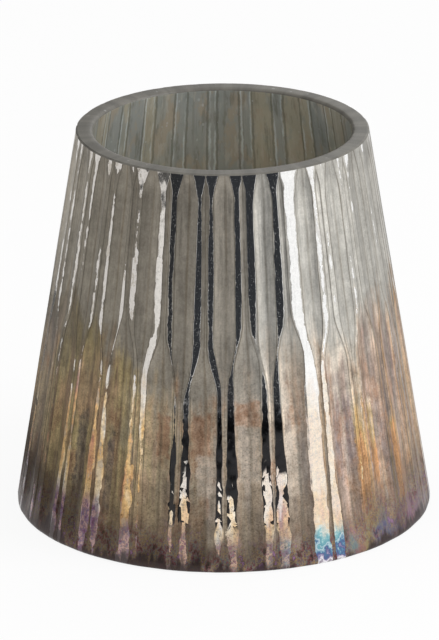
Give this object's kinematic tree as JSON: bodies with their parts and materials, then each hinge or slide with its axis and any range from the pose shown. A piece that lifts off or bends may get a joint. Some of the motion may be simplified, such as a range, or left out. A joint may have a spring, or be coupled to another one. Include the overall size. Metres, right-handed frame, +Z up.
{
  "type": "hurricane candle lantern",
  "caption": "Tapered thick-walled glass hurricane with interlocking cut flutes and a flat ground rim, holding a pillar candle that lifts out through the open top.",
  "frame": {"origin": "centre of the plane that the vessel stands on", "axes": "+Z up along the vessel's axis; -Y is the side that the picture faces, with the middle of an upper flute within half a degree of it"},
  "size_m": [0.1485, 0.1486, 0.14],
  "materials": {
    "silvered_glass": "satin wheel-cut flutes between mirror-bright ridges, silver above and stained bronze to violet below",
    "ivory_wax": "smooth matt wax",
    "cotton_wick": "waxed braid",
    "tinned_steel": "bright tinned sheet"
  },
  "bodies": {
    "vessel": {"glass_vessel": "silvered_glass"},
    "candle": {"candle_wax": "ivory_wax", "candle_wick": "cotton_wick", "wick_tab": "tinned_steel"}
  },
  "joints": [
    {"name": "candle_lift", "type": "slide", "parent": "vessel", "child": "candle", "axis": [0, 0, 1], "range_m": [0, 0.145]}
  ]
}
